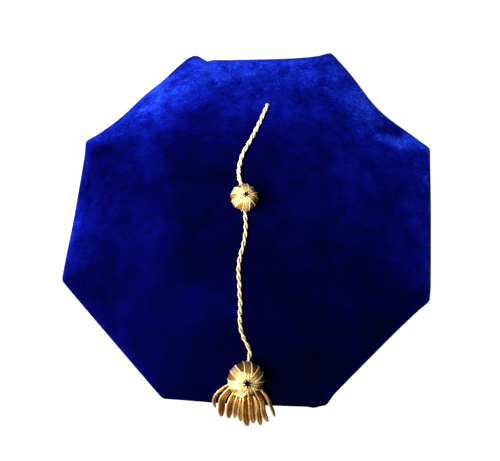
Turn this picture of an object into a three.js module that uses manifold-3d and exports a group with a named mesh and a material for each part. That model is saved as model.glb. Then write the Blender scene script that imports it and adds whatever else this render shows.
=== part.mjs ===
// Doctoral tam: a soft eight-sided velvet cap with a gold cord, two wound balls and a bullion fringe.
// Millimetres, +Z up. The head band stands on z = 0, and the tassel lies towards the front, -Y.
import * as THREE from 'three';
import { mergeVertices } from 'three/addons/utils/BufferGeometryUtils.js';
import Module from 'manifold-3d';

const wasm = await Module();
wasm.setup();

// Driving dimensions
const ACROSS_FLATS = 280;
const SEAM_HEIGHT = 60;
const DOME_RISE = 30;
const DOME_ROUNDNESS = 2.4;
const EDGE_ROUNDNESS = 0.75;
const MIDDLE_RADIUS = 146;
const CLOTH = 2;
const HEAD_WIDTH = 168;
const HEAD_LENGTH = 200;
const BAND_HEIGHT = 42;
const BAND_WALL = 3;
const UNDERSIDE_ROUNDNESS = 0.8;
const CORD_DIAMETER = 3.3;
const GAP = 0.3;

// Each ball has as many lobes as bands of thread, the first at a bearing in degrees, and leans by degrees
const SLIDER = { x: -5, y: 0.5, radius: 10, halfHeight: 8.5, lobes: 6, first: 38, back: 0, right: 12 };
const HEAD = { x: 1.9, y: -122.7, radius: 12.7, halfHeight: 10.7, lobes: 7, first: 87, back: 5, right: 9 };
const EYE = { radiusShare: 0.17, depthShare: 0.35, starSwell: 0.2 };
const LOBE_SWELL = 0.03;
const HUB = { radius: 6, height: 2.6 };
const LOCK = { rootRadius: 3.5, halfThick: 1.35, lift: 1.7, arch: 0.7, dip: 1.3, droop: 4.7 };

// Facet counts, and the distance that joins vertices
const SIDES_OF_CROWN = 8;
const STEPS_PER_SIDE = 10;
const AROUND = SIDES_OF_CROWN * STEPS_PER_SIDE;
const STEPS_PER_LOBE = 6;
const BALL_LATITUDES = 11;
const CORD_SIDES = 8;
const CORD_STEPS = 78;
const LOCK_SIDES = 8;
const HUB_SIDES = 24;
const WELD = 1e-3;

// Corners anticlockwise from the right, with what each is off the regular octagon's corner
const CORNERS = [
  { corner: 'right_back', outward: 2.8, along: 2.2, lift: -1.5 },
  { corner: 'back_right', outward: 3.1, along: -1.5, lift: 1 },
  { corner: 'back_left', outward: -6.6, along: 0.8, lift: 2 },
  { corner: 'left_back', outward: -5.6, along: 2.1, lift: 1 },
  { corner: 'left_front', outward: 2.5, along: 0.7, lift: -1 },
  { corner: 'front_left', outward: 3.1, along: 1.1, lift: 0 },
  { corner: 'front_right', outward: 3.6, along: 1.5, lift: 0 },
  { corner: 'right_front', outward: 0.1, along: -5.4, lift: -1 },
];

// Each side from its corner of the same row to the next: how far the seam bows out,
// where, how wide and how squarely
const SIDES = [
  { side: 'back_right', bow: -6.8, peak: 0.44, width: 0.29, power: 2 },
  { side: 'back', bow: -4.8, peak: 0.54, width: 0.52, power: 4 },
  { side: 'back_left', bow: -3.3, peak: 0.72, width: 0.25, power: 2 },
  { side: 'left', bow: -1.2, peak: 0.35, width: 0.42, power: 4 },
  { side: 'front_left', bow: 0.2, peak: 0.5, width: 0.5, power: 4 },
  { side: 'front', bow: 1.5, peak: 0.62, width: 0.45, power: 4 },
  { side: 'front_right', bow: -1.8, peak: 0.42, width: 0.55, power: 4 },
  { side: 'right', bow: 0.8, peak: 0.35, width: 0.45, power: 4 },
];
const CORNER_HOLD = 0.08;

// Soft dents in the top: middle, half length and half width, bearing of the length, and depth
const DENTS = [
  { dent: 'right_back', x: 108, y: 76, long: 26, wide: 10, bearing: -45, depth: 5 },
  { dent: 'back', x: 10, y: 118, long: 52, wide: 12, bearing: 0, depth: 2.5 },
  { dent: 'left_back', x: -92, y: 84, long: 24, wide: 10, bearing: 45, depth: 3 },
  { dent: 'front_right', x: 92, y: -84, long: 34, wide: 13, bearing: 45, depth: 2 },
];

// Rings of the cloth panels, as shares of the way from the middle or from the seam
const TOP_OUTER = [0, 0.2, 0.38, 0.54, 0.67, 0.77, 0.85, 0.91, 0.955, 0.985, 1];
const TOP_INNER = [0, 0.3, 0.55, 0.75, 0.88, 0.96, 1];
const UNDER_OUTER = [0, 0.03, 0.1, 0.25, 0.5, 0.75, 1];
const UNDER_INNER = [0, 0.06, 0.22, 0.5, 0.78, 1];

// The cord's middle line from its free end to the tassel head, with its rise above the top
const ON_TOP = CORD_DIAMETER / 2 + GAP;
const ROUTE = [
  { x: 9.4, y: 81.4, rise: ON_TOP },
  { x: 7, y: 74.2, rise: ON_TOP },
  { x: 2.2, y: 60.7, rise: ON_TOP },
  { x: -3.5, y: 47, rise: ON_TOP },
  { x: -7.3, y: 39.2, rise: ON_TOP },
  { x: -9.4, y: 31.6, rise: ON_TOP },
  { x: -10.3, y: 24.9, rise: ON_TOP },
  { x: -9.9, y: 18.3, rise: 2.2 },
  { x: -8.2, y: 12.5, rise: 3.6 },
  { x: -6.4, y: 6.5, rise: 4.8 },
  { x: -5, y: 0.5, rise: 5.1 },
  { x: -4.3, y: -5.5, rise: 4.8 },
  { x: -3.9, y: -11.5, rise: 3.2 },
  { x: -3.3, y: -17.5, rise: 2.1 },
  { x: -3.3, y: -24.6, rise: ON_TOP },
  { x: -4.3, y: -32.7, rise: ON_TOP },
  { x: -5.8, y: -39.5, rise: ON_TOP },
  { x: -6.8, y: -46.5, rise: ON_TOP },
  { x: -6.8, y: -54, rise: ON_TOP },
  { x: -5.9, y: -60.1, rise: ON_TOP },
  { x: -5.4, y: -67.8, rise: ON_TOP },
  { x: -4.5, y: -74.6, rise: ON_TOP },
  { x: -4.5, y: -81, rise: ON_TOP },
  { x: -4.3, y: -86.9, rise: ON_TOP },
  { x: -2.9, y: -94.4, rise: ON_TOP },
  { x: -0.2, y: -100.4, rise: 2.1 },
  { x: 2.7, y: -105.6, rise: 2.8 },
  { x: 3.7, y: -110, rise: 4.4 },
  { x: 3, y: -114, rise: 6.6 },
  { x: 2.3, y: -118, rise: 9 },
];

// Fringe locks from left to right: where each passes its knee and its lower bend, its tip and half width
const LOCKS = [
  { kneeSide: -19.7, kneeReach: 14.5, lowSide: -22.4, lowReach: 21, side: -21.6, reach: 27.7, half: 1.3 },
  { kneeSide: -15.9, kneeReach: 18.4, lowSide: -16.8, lowReach: 26, side: -16.7, reach: 34, half: 2.6 },
  { kneeSide: -10.2, kneeReach: 20.8, lowSide: -11.2, lowReach: 27.7, side: -11.3, reach: 35, half: 2.4 },
  { kneeSide: -6.1, kneeReach: 21.3, lowSide: -6.8, lowReach: 27.1, side: -7, reach: 34.8, half: 1.9 },
  { kneeSide: -2.7, kneeReach: 22.3, lowSide: -3.4, lowReach: 29.2, side: -2.5, reach: 36.9, half: 2 },
  { kneeSide: 0.6, kneeReach: 23.2, lowSide: 0.6, lowReach: 30.5, side: 2.4, reach: 40.4, half: 2.6 },
  { kneeSide: 4.9, kneeReach: 22.7, lowSide: 5.4, lowReach: 29.5, side: 6.9, reach: 37.9, half: 2.6 },
  { kneeSide: 9.4, kneeReach: 21.7, lowSide: 10, lowReach: 29.3, side: 11.9, reach: 39.2, half: 2.2 },
  { kneeSide: 12.1, kneeReach: 20.1, lowSide: 13.5, lowReach: 28.7, side: 16.9, reach: 36.5, half: 1.9 },
  { kneeSide: 14.9, kneeReach: 15.4, lowSide: 18.4, lowReach: 23.2, side: 21.9, reach: 32.5, half: 1.3 },
];

// How thick a lock is along its length
const LOCK_GIRTH = [
  { along: 0, girth: 0 },
  { along: 0, girth: 0.45 },
  { along: 0.25, girth: 0.7 },
  { along: 0.4, girth: 0.92 },
  { along: 0.55, girth: 1 },
  { along: 0.84, girth: 1 },
  { along: 0.93, girth: 0.8 },
  { along: 1, girth: 0 },
];

const COLOURS = {
  velvet: { color: 0x0b1f9e, roughness: 0.95, metalness: 0 },
  gold_cord: { color: 0xe6cf86, roughness: 0.45, metalness: 0.6 },
  gold_ball: { color: 0xd9a545, roughness: 0.35, metalness: 0.7 },
  bullion: { color: 0xb98a3c, roughness: 0.35, metalness: 0.8 },
};

const radians = THREE.MathUtils.degToRad;
const HALF_SIDE_ANGLE = radians(180 / SIDES_OF_CROWN);
const CORNER_RADIUS = ACROSS_FLATS / 2 / Math.cos(HALF_SIDE_ANGLE);

const corners = CORNERS.map(({ outward, along }, k) => {
  const bearing = HALF_SIDE_ANGLE * (2 * k + 1);
  const out = new THREE.Vector2(Math.cos(bearing), Math.sin(bearing));
  const sideways = new THREE.Vector2(-out.y, out.x);
  return out.multiplyScalar(CORNER_RADIUS + outward).addScaledVector(sideways, along);
});

// A point of the edge seam, with turn counted in sides from the first corner
function seam(turn) {
  const k = Math.floor(turn) % SIDES_OF_CROWN;
  const next = (k + 1) % SIDES_OF_CROWN;
  const t = turn - Math.floor(turn);
  const { bow, peak, width, power } = SIDES[k];
  const hold = Math.min(1, t / CORNER_HOLD, (1 - t) / CORNER_HOLD);
  const swell = bow * hold * Math.exp(-(((t - peak) / width) ** power));
  const chord = corners[next].clone().sub(corners[k]);
  const outward = new THREE.Vector2(chord.y, -chord.x).normalize();
  const plan = corners[k].clone().addScaledVector(chord, t).addScaledVector(outward, swell);
  const lift = THREE.MathUtils.lerp(CORNERS[k].lift, CORNERS[next].lift, t);
  return { plan, lift };
}

// Turn and share of the way to the seam of a point in plan
function placeOnCrown(x, y) {
  const point = new THREE.Vector2(x, y);
  const k = corners.findIndex((corner, i) => {
    const next = corners[(i + 1) % SIDES_OF_CROWN];
    return corner.cross(point) >= 0 && point.cross(next) > 0;
  });
  const before = corners[k].cross(point);
  const after = point.cross(corners[(k + 1) % SIDES_OF_CROWN]);
  const turn = k + before / (before + after);
  return { turn, share: point.length() / seam(turn).plan.length() };
}

function dentDepth(x, y, share) {
  let depth = 0;
  for (const dent of DENTS) {
    const offset = new THREE.Vector2(x - dent.x, y - dent.y);
    offset.rotateAround(new THREE.Vector2(), -radians(dent.bearing));
    depth += dent.depth * Math.exp(-((offset.x / dent.long) ** 2) - (offset.y / dent.wide) ** 2);
  }
  return depth * (1 - share ** 10);
}

// A point of the top panel: share 0 is the middle and 1 the seam, and inset is the depth into the cloth.
// The dome is round in the middle and takes the eight sides only towards the seam.
function topPoint(turn, share, inset) {
  const { plan, lift } = seam(turn);
  const reach = share * (1 - inset / plan.length());
  const x = plan.x * reach;
  const y = plan.y * reach;
  const fullRadius = THREE.MathUtils.lerp(MIDDLE_RADIUS, plan.length(), share ** 3);
  const roundShare = Math.min(1, (share * plan.length()) / fullRadius);
  const dome = (DOME_RISE - inset) * (1 - roundShare ** DOME_ROUNDNESS) ** EDGE_ROUNDNESS;
  const height = SEAM_HEIGHT + lift * share ** 4 + dome - dentDepth(x, y, share);
  return new THREE.Vector3(x, y, height);
}

function topHeight(x, y) {
  const { turn, share } = placeOnCrown(x, y);
  return topPoint(turn, share, 0).z;
}

// A point of the oval round the head at the bearing of a given plan point
function ovalPoint(plan, wall) {
  const bearing = Math.atan2(plan.y, plan.x);
  const halfWidth = HEAD_WIDTH / 2 + wall;
  const halfLength = HEAD_LENGTH / 2 + wall;
  const radius = (halfWidth * halfLength)
    / Math.hypot(halfLength * Math.cos(bearing), halfWidth * Math.sin(bearing));
  return new THREE.Vector2(radius * Math.cos(bearing), radius * Math.sin(bearing));
}

// A point of the underside: inward 0 is the seam and 1 the inside of the band
function undersidePoint(turn, inward, inset) {
  const { plan, lift } = seam(turn);
  const outer = plan.clone().multiplyScalar(1 - inset / plan.length());
  const place = outer.lerp(ovalPoint(plan, 0), inward);
  const drop = SEAM_HEIGHT - BAND_HEIGHT - 2 * GAP - inset;
  const fall = Math.sin((Math.PI / 2) * inward ** UNDERSIDE_ROUNDNESS);
  const height = SEAM_HEIGHT - GAP + lift * (1 - inward) - drop * fall;
  return new THREE.Vector3(place.x, place.y, height);
}

function bandPoint(turn, wall, height) {
  const place = ovalPoint(seam(turn).plan, wall);
  return new THREE.Vector3(place.x, place.y, height);
}

// Keeps positions only, joins shared vertices and drops the empty triangles at a pole
function welded(geometry) {
  geometry.deleteAttribute('normal');
  geometry.deleteAttribute('uv');
  const merged = mergeVertices(geometry, WELD);
  const kept = [];
  for (let i = 0; i < merged.index.count; i += 3) {
    const triangle = [0, 1, 2].map((k) => merged.index.getX(i + k));
    if (new Set(triangle).size === 3) kept.push(...triangle);
  }
  merged.setIndex(kept);
  return merged;
}

// Revolves a section loop of parameter pairs and drapes each vertex over a form
function draped(loop, form) {
  const profile = loop.map(([u, v]) => new THREE.Vector2(u, v));
  const lathe = new THREE.LatheGeometry(profile, AROUND);
  const position = lathe.attributes.position;
  for (let i = 0; i < position.count; i += 1) {
    const turn = (Math.floor(i / loop.length) % AROUND) / STEPS_PER_SIDE;
    const [u, v] = loop[i % loop.length];
    position.setXYZ(i, ...form(turn, u, v).toArray());
  }
  return welded(lathe);
}

function crownTop() {
  const inner = TOP_INNER.map((share) => [share, CLOTH]);
  const outer = TOP_OUTER.map((share) => [share, 0]).reverse();
  return draped([...inner, ...outer], topPoint);
}

function crownUnderside() {
  const outer = UNDER_OUTER.map((inward) => [inward, 0]).reverse();
  const inner = UNDER_INNER.map((inward) => [inward, CLOTH]);
  return draped([...outer, ...inner, outer[0]], undersidePoint);
}

function headband() {
  const loop = [[0, 0], [BAND_WALL, 0], [BAND_WALL, BAND_HEIGHT], [0, BAND_HEIGHT], [0, 0]];
  return draped(loop, bandPoint);
}

function toManifold(geometry) {
  const vertProperties = new Float32Array(geometry.attributes.position.array);
  const triVerts = new Uint32Array(geometry.index.array);
  return new wasm.Manifold(new wasm.Mesh({ numProp: 3, vertProperties, triVerts }));
}

function fromManifold(solid) {
  const { vertProperties, triVerts } = solid.getMesh();
  const geometry = new THREE.BufferGeometry();
  geometry.setAttribute('position', new THREE.BufferAttribute(vertProperties, 3));
  geometry.setIndex(new THREE.BufferAttribute(triVerts, 1));
  return geometry;
}

// A tube along the cord's route; overrun lengthens its end inside the tassel head
function cordTube(radius, overrun) {
  const points = ROUTE.map(({ x, y, rise }) => new THREE.Vector3(x, y, topHeight(x, y) + rise));
  const [before, last] = points.slice(-2);
  last.addScaledVector(last.clone().sub(before).normalize(), overrun);
  const section = new THREE.Shape();
  for (let k = 0; k < CORD_SIDES; k += 1) {
    const angle = (2 * Math.PI * k) / CORD_SIDES;
    const corner = [radius * Math.cos(angle), radius * Math.sin(angle)];
    if (k === 0) section.moveTo(...corner);
    else section.lineTo(...corner);
  }
  const extrudePath = new THREE.CatmullRomCurve3(points);
  return welded(new THREE.ExtrudeGeometry(section, { extrudePath, steps: CORD_STEPS }));
}

// A ball wound from pole to pole in swelling lobes, with a star-shaped eye sunk in its upper pole,
// leaning back and to the right round its middle
function woundBall({ radius, halfHeight, lobes, first, back, right }) {
  const eyeRadius = EYE.radiusShare * radius;
  const eyeFloor = halfHeight * (1 - EYE.depthShare);
  const rimAngle = Math.acos(EYE.radiusShare);
  const profile = [];
  for (let k = 0; k <= BALL_LATITUDES; k += 1) {
    const angle = THREE.MathUtils.lerp(-Math.PI / 2, rimAngle, k / BALL_LATITUDES);
    profile.push(new THREE.Vector2(radius * Math.cos(angle), halfHeight * Math.sin(angle)));
  }
  profile[0].x = 0;
  profile.push(new THREE.Vector2(eyeRadius / 2, eyeFloor), new THREE.Vector2(0, eyeFloor));
  const lathe = new THREE.LatheGeometry(profile, lobes * STEPS_PER_LOBE).rotateX(Math.PI / 2);
  const position = lathe.attributes.position;
  for (let i = 0; i < position.count; i += 1) {
    const x = position.getX(i);
    const y = position.getY(i);
    const swell = Math.hypot(x, y) <= eyeRadius * 1.01 ? EYE.starSwell : LOBE_SWELL;
    const scale = 1 + swell * Math.cos(lobes * (Math.atan2(y, x) - radians(first)));
    position.setXY(i, x * scale, y * scale);
  }
  return welded(lathe).rotateX(-radians(back)).rotateY(radians(right));
}

// How far a leaning ball reaches below its middle
function ballDepth({ radius, halfHeight, back, right }) {
  const tilt = Math.acos(Math.cos(radians(back)) * Math.cos(radians(right)));
  return Math.hypot(halfHeight * Math.cos(tilt), radius * Math.sin(tilt));
}

function sliderBall() {
  const foot = topHeight(SLIDER.x, SLIDER.y) + GAP;
  const ball = woundBall(SLIDER).translate(SLIDER.x, SLIDER.y, foot + ballDepth(SLIDER));
  const bore = cordTube(CORD_DIAMETER / 2 + GAP, GAP);
  return fromManifold(toManifold(ball).subtract(toManifold(bore)));
}

// The tassel stands on the slope of the top, so its own frame is tilted to that slope
const tassel = new THREE.Group();
const SLOPE_STEP = 4;
const uphill = topHeight(HEAD.x, HEAD.y + SLOPE_STEP);
const downhill = topHeight(HEAD.x, HEAD.y - SLOPE_STEP);
tassel.position.set(HEAD.x, HEAD.y, topHeight(HEAD.x, HEAD.y));
tassel.rotation.x = Math.atan2(uphill - downhill, 2 * SLOPE_STEP);
tassel.updateMatrixWorld();

// The head ball stands clear of the hub in that frame
function tasselHead() {
  const ball = woundBall(HEAD).translate(0, 0, GAP + HUB.height + GAP + ballDepth(HEAD));
  const socket = cordTube(CORD_DIAMETER / 2 + GAP, GAP).applyMatrix4(tassel.matrixWorld.clone().invert());
  return fromManifold(toManifold(ball).subtract(toManifold(socket)));
}

// One lock of the fringe in the tassel's frame: a rounded strip that arches out and droops at its tip
function lock({ kneeSide, kneeReach, lowSide, lowReach, side, reach, half }) {
  const rootShare = LOCK.rootRadius / Math.hypot(kneeSide, kneeReach);
  const path = new THREE.CatmullRomCurve3([
    new THREE.Vector3(kneeSide * rootShare, -kneeReach * rootShare, LOCK.lift),
    new THREE.Vector3(kneeSide, -kneeReach, LOCK.lift + LOCK.arch),
    new THREE.Vector3(lowSide, -lowReach, LOCK.lift - LOCK.dip),
    new THREE.Vector3(side, -reach, LOCK.lift - LOCK.droop),
  ]);
  const profile = LOCK_GIRTH.map(({ along, girth }) => new THREE.Vector2(girth, along));
  const lathe = new THREE.LatheGeometry(profile, LOCK_SIDES);
  const position = lathe.attributes.position;
  const up = new THREE.Vector3(0, 0, 1);
  for (let i = 0; i < position.count; i += 1) {
    const along = position.getY(i);
    const sideways = path.getTangentAt(along).cross(up).normalize();
    const lift = sideways.clone().cross(path.getTangentAt(along));
    const point = path.getPointAt(along);
    point.addScaledVector(sideways, half * position.getX(i));
    point.addScaledVector(lift, LOCK.halfThick * position.getZ(i));
    position.setXYZ(i, ...point.toArray());
  }
  return welded(lathe);
}

function tasselFringe() {
  const section = [[0, GAP], [HUB.radius, GAP], [HUB.radius, GAP + HUB.height], [0, GAP + HUB.height]];
  const profile = section.map(([radius, height]) => new THREE.Vector2(radius, height));
  const hub = welded(new THREE.LatheGeometry(profile, HUB_SIDES).rotateX(Math.PI / 2));
  const fused = LOCKS.reduce((solid, row) => solid.add(toManifold(lock(row))), toManifold(hub));
  return fromManifold(fused);
}

function piece(name, geometry, colours) {
  const mesh = new THREE.Mesh(geometry, new THREE.MeshStandardMaterial(colours));
  mesh.name = name;
  return mesh;
}

tassel.add(
  piece('tassel_head', tasselHead(), COLOURS.gold_ball),
  piece('tassel_fringe', tasselFringe(), COLOURS.bullion),
);

const tam = new THREE.Group();
tam.add(
  piece('crown_top', crownTop(), COLOURS.velvet),
  piece('crown_underside', crownUnderside(), COLOURS.velvet),
  piece('headband', headband(), COLOURS.velvet),
  piece('tassel_cord', cordTube(CORD_DIAMETER / 2, 0), COLOURS.gold_cord),
  piece('slider_ball', sliderBall(), COLOURS.gold_ball),
  tassel,
);

export default tam;
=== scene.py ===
"""Doctoral tam: a soft eight-sided velvet crown on a head band, a gold cord, two wound balls and a fringe.

Metres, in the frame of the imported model: the band stands on z = 0 and the tassel lies towards the front, -Y.
"""
import math

import bmesh
import bpy
import numpy as np
from mathutils import Matrix, Vector, noise


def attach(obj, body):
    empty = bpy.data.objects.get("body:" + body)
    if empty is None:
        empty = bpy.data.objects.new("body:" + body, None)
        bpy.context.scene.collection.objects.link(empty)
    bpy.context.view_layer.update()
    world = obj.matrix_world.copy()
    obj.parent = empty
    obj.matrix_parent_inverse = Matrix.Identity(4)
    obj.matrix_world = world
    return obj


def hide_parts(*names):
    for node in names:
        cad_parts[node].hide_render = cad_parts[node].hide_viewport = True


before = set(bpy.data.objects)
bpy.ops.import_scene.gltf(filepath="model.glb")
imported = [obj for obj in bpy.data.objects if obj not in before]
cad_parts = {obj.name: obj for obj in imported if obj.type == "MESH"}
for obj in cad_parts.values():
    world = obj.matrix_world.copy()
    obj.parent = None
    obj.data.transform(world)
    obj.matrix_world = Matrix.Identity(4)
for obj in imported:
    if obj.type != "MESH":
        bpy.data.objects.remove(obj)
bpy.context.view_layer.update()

TAU = 2 * math.pi
UP = np.array([0.0, 0.0, 1.0])

# Sizes that the solids have
ACROSS_FLATS = 0.280
SEAM_HEIGHT = 0.060
DOME_RISE = 0.030
DOME_ROUNDNESS = 2.4
EDGE_ROUNDNESS = 0.75
MIDDLE_RADIUS = 0.146
OCTAGON_POWER = 3
LIFT_POWER = 4
DENT_FADE_POWER = 10
CLOTH = 0.002
HEAD_WIDTH = 0.168
HEAD_LENGTH = 0.200
BAND_HEIGHT = 0.042
BAND_WALL = 0.003
UNDERSIDE_ROUNDNESS = 0.8
GAP = 0.0003
CORD_DIAMETER = 0.0033

# Balls: place, size, and the degrees that they lean back and to the right
SLIDER = {"x": -0.005, "y": 0.0005, "radius": 0.010, "half_height": 0.0085, "back": 0, "right": 12}
HEAD = {"x": 0.0019, "y": -0.1227, "radius": 0.0127, "half_height": 0.0107, "back": 5, "right": 9}

# The fringe's hub, and its locks' root, rise, arch at the knee, dip at the lower bend and droop at the tip
HUB_RADIUS = 0.006
HUB_HEIGHT = 0.0026
LOCK_ROOT = 0.0035
LOCK_LIFT = 0.0017
LOCK_ARCH = 0.0007
LOCK_DIP = 0.0013
LOCK_DROOP = 0.0047

# Corners anticlockwise from the right: outward and along from the regular octagon's corner, and lift
CORNERS = np.array([
    (0.0028, 0.0022, -0.0015),
    (0.0031, -0.0015, 0.0010),
    (-0.0066, 0.0008, 0.0020),
    (-0.0056, 0.0021, 0.0010),
    (0.0025, 0.0007, -0.0010),
    (0.0031, 0.0011, 0.0),
    (0.0036, 0.0015, 0.0),
    (0.0001, -0.0054, -0.0010),
])

# Sides from the corner of the same row: how far the seam bows out, where along it, how wide and squarely
SIDES = np.array([
    (-0.0068, 0.44, 0.29, 2),
    (-0.0048, 0.54, 0.52, 4),
    (-0.0033, 0.72, 0.25, 2),
    (-0.0012, 0.35, 0.42, 4),
    (0.0002, 0.50, 0.50, 4),
    (0.0015, 0.62, 0.45, 4),
    (-0.0018, 0.42, 0.55, 4),
    (0.0008, 0.35, 0.45, 4),
])
CORNER_HOLD = 0.08
SIDE_COUNT = len(SIDES)

# Soft dents in the top: middle, half length, half width, bearing of the length in degrees, and depth
DENTS = np.array([
    (0.108, 0.076, 0.026, 0.010, -45, 0.0050),
    (0.010, 0.118, 0.052, 0.012, 0, 0.0025),
    (-0.092, 0.084, 0.024, 0.010, 45, 0.0030),
    (0.092, -0.084, 0.034, 0.013, 45, 0.0020),
])

# The cord's middle line from the crown to the tassel head: x, y and the rise above the top
ON_TOP = CORD_DIAMETER / 2 + GAP
ROUTE = np.array([
    (0.0094, 0.0814, ON_TOP),
    (0.0070, 0.0742, ON_TOP),
    (0.0022, 0.0607, ON_TOP),
    (-0.0035, 0.0470, ON_TOP),
    (-0.0073, 0.0392, ON_TOP),
    (-0.0094, 0.0316, ON_TOP),
    (-0.0103, 0.0249, ON_TOP),
    (-0.0099, 0.0183, 0.0022),
    (-0.0082, 0.0125, 0.0036),
    (-0.0064, 0.0065, 0.0048),
    (-0.0050, 0.0005, 0.0051),
    (-0.0043, -0.0055, 0.0048),
    (-0.0039, -0.0115, 0.0032),
    (-0.0033, -0.0175, 0.0021),
    (-0.0033, -0.0246, ON_TOP),
    (-0.0043, -0.0327, ON_TOP),
    (-0.0058, -0.0395, ON_TOP),
    (-0.0068, -0.0465, ON_TOP),
    (-0.0068, -0.0540, ON_TOP),
    (-0.0059, -0.0601, ON_TOP),
    (-0.0054, -0.0678, ON_TOP),
    (-0.0045, -0.0746, ON_TOP),
    (-0.0045, -0.0810, ON_TOP),
    (-0.0043, -0.0869, ON_TOP),
    (-0.0029, -0.0944, ON_TOP),
    (-0.0002, -0.1004, 0.0021),
    (0.0027, -0.1056, 0.0028),
    (0.0037, -0.1100, 0.0044),
    (0.0030, -0.1140, 0.0066),
    (0.0023, -0.1180, 0.0090),
])

# Fringe locks from the left, in the tassel's frame: side and reach of knee, lower bend and tip; half width
LOCKS = np.array([
    (-0.0197, 0.0145, -0.0224, 0.0210, -0.0216, 0.0277, 0.0013),
    (-0.0159, 0.0184, -0.0168, 0.0260, -0.0167, 0.0340, 0.0026),
    (-0.0102, 0.0208, -0.0112, 0.0277, -0.0113, 0.0350, 0.0024),
    (-0.0061, 0.0213, -0.0068, 0.0271, -0.0070, 0.0348, 0.0019),
    (-0.0027, 0.0223, -0.0034, 0.0292, -0.0025, 0.0369, 0.0020),
    (0.0006, 0.0232, 0.0006, 0.0305, 0.0024, 0.0404, 0.0026),
    (0.0049, 0.0227, 0.0054, 0.0295, 0.0069, 0.0379, 0.0026),
    (0.0094, 0.0217, 0.0100, 0.0293, 0.0119, 0.0392, 0.0022),
    (0.0121, 0.0201, 0.0135, 0.0287, 0.0169, 0.0365, 0.0019),
    (0.0149, 0.0154, 0.0184, 0.0232, 0.0219, 0.0325, 0.0013),
])

def unit(vectors):
    return vectors / np.linalg.norm(vectors, axis=-1, keepdims=True)


def add_object(name, data):
    item = bpy.data.objects.new(name, data)
    bpy.context.collection.objects.link(item)
    return item


def look_at(item, target, bearing, elevation, distance):
    """Puts a camera or light at a distance from its target, with its bearing and elevation in degrees."""
    bearing, elevation = math.radians(bearing), math.radians(elevation)
    away = Vector((
        math.cos(bearing) * math.cos(elevation),
        math.sin(bearing) * math.cos(elevation),
        math.sin(elevation),
    ))
    item.location = target + away * distance
    item.rotation_euler = away.to_track_quat("Z", "Y").to_euler()


# The photograph's camera
IMAGE_WIDTH = 500
FOCAL_PIXELS = 643.7
SENSOR_WIDTH = 36.0
CAMERA_BEARING = -87.46
CAMERA_ELEVATION = 75.29
CAMERA_TARGET = Vector((-0.00031, -0.01397, 0.060))
CAMERA_DISTANCE = 0.500


def add_camera():
    data = bpy.data.cameras.new("camera")
    data.sensor_width = SENSOR_WIDTH
    data.lens = FOCAL_PIXELS * SENSOR_WIDTH / IMAGE_WIDTH
    camera = add_object("camera", data)
    look_at(camera, CAMERA_TARGET, CAMERA_BEARING, CAMERA_ELEVATION, CAMERA_DISTANCE)
    bpy.context.scene.camera = camera


# Form of the crown, as the solids have it
def corner_plan():
    bearing = TAU / SIDE_COUNT * (np.arange(SIDE_COUNT) + 0.5)
    out = np.stack([np.cos(bearing), np.sin(bearing)], -1)
    sideways = np.stack([-out[:, 1], out[:, 0]], -1)
    radius = ACROSS_FLATS / 2 / math.cos(TAU / SIDE_COUNT / 2)
    return out * (radius + CORNERS[:, :1]) + sideways * CORNERS[:, 1:2]


CORNER_PLAN = corner_plan()


def seam(turn):
    """Plan and lift of the edge seam, with turn counted in sides from the first corner."""
    side = np.floor(turn).astype(int) % SIDE_COUNT
    after = (side + 1) % SIDE_COUNT
    t = turn - np.floor(turn)
    bow, peak, width, power = SIDES[side].T
    hold = np.minimum(1, np.minimum(t, 1 - t) / CORNER_HOLD)
    swell = bow * hold * np.exp(-(np.abs((t - peak) / width) ** power))
    chord = CORNER_PLAN[after] - CORNER_PLAN[side]
    outward = unit(np.stack([chord[:, 1], -chord[:, 0]], -1))
    plan = CORNER_PLAN[side] + chord * t[:, None] + outward * swell[:, None]
    lift = CORNERS[side, 2] * (1 - t) + CORNERS[after, 2] * t
    return plan, lift


def spot_axes(x, y, middle_x, middle_y, half_long, half_wide, bearing):
    """How far places lie along and across a long spot, in its half lengths and half widths."""
    turn = math.radians(bearing)
    along = (x - middle_x) * math.cos(turn) + (y - middle_y) * math.sin(turn)
    across = (y - middle_y) * math.cos(turn) - (x - middle_x) * math.sin(turn)
    return along / half_long, across / half_wide


def dent_depth(x, y, share):
    depth = np.zeros_like(x)
    for *spot, deep in DENTS:
        along, across = spot_axes(x, y, *spot)
        depth += deep * np.exp(-(along ** 2) - across ** 2)
    return depth * (1 - share ** DENT_FADE_POWER)


def top_points(plan, lift, share, inset):
    """Points of the top panel: share 0 is the middle and 1 the seam, inset is the depth into the cloth."""
    length = np.linalg.norm(plan, axis=-1)
    reach = share * (1 - inset / length)
    x = plan[:, 0] * reach
    y = plan[:, 1] * reach
    full_radius = MIDDLE_RADIUS + (length - MIDDLE_RADIUS) * share ** OCTAGON_POWER
    round_share = np.minimum(1, share * length / full_radius)
    dome = (DOME_RISE - inset) * (1 - round_share ** DOME_ROUNDNESS) ** EDGE_ROUNDNESS
    height = SEAM_HEIGHT + lift * share ** LIFT_POWER + dome - dent_depth(x, y, share)
    return np.stack([x, y, height], -1)


def top_height(x, y):
    after = np.roll(CORNER_PLAN, -1, axis=0)
    before = CORNER_PLAN[:, 0] * y - CORNER_PLAN[:, 1] * x
    beyond = x * after[:, 1] - y * after[:, 0]
    side = np.flatnonzero((before >= 0) & (beyond > 0))[0]
    turn = np.array([side + before[side] / (before[side] + beyond[side])])
    plan, lift = seam(turn)
    share = math.hypot(x, y) / np.linalg.norm(plan)
    return float(top_points(plan, lift, share, 0.0)[0, 2])


def oval_points(plan, wall):
    """Points of the oval round the head at the bearings of the given plan points."""
    bearing = np.arctan2(plan[:, 1], plan[:, 0])
    half_width = HEAD_WIDTH / 2 + wall
    half_length = HEAD_LENGTH / 2 + wall
    radius = half_width * half_length / np.hypot(half_length * np.cos(bearing), half_width * np.sin(bearing))
    return np.stack([radius * np.cos(bearing), radius * np.sin(bearing)], -1)


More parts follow.
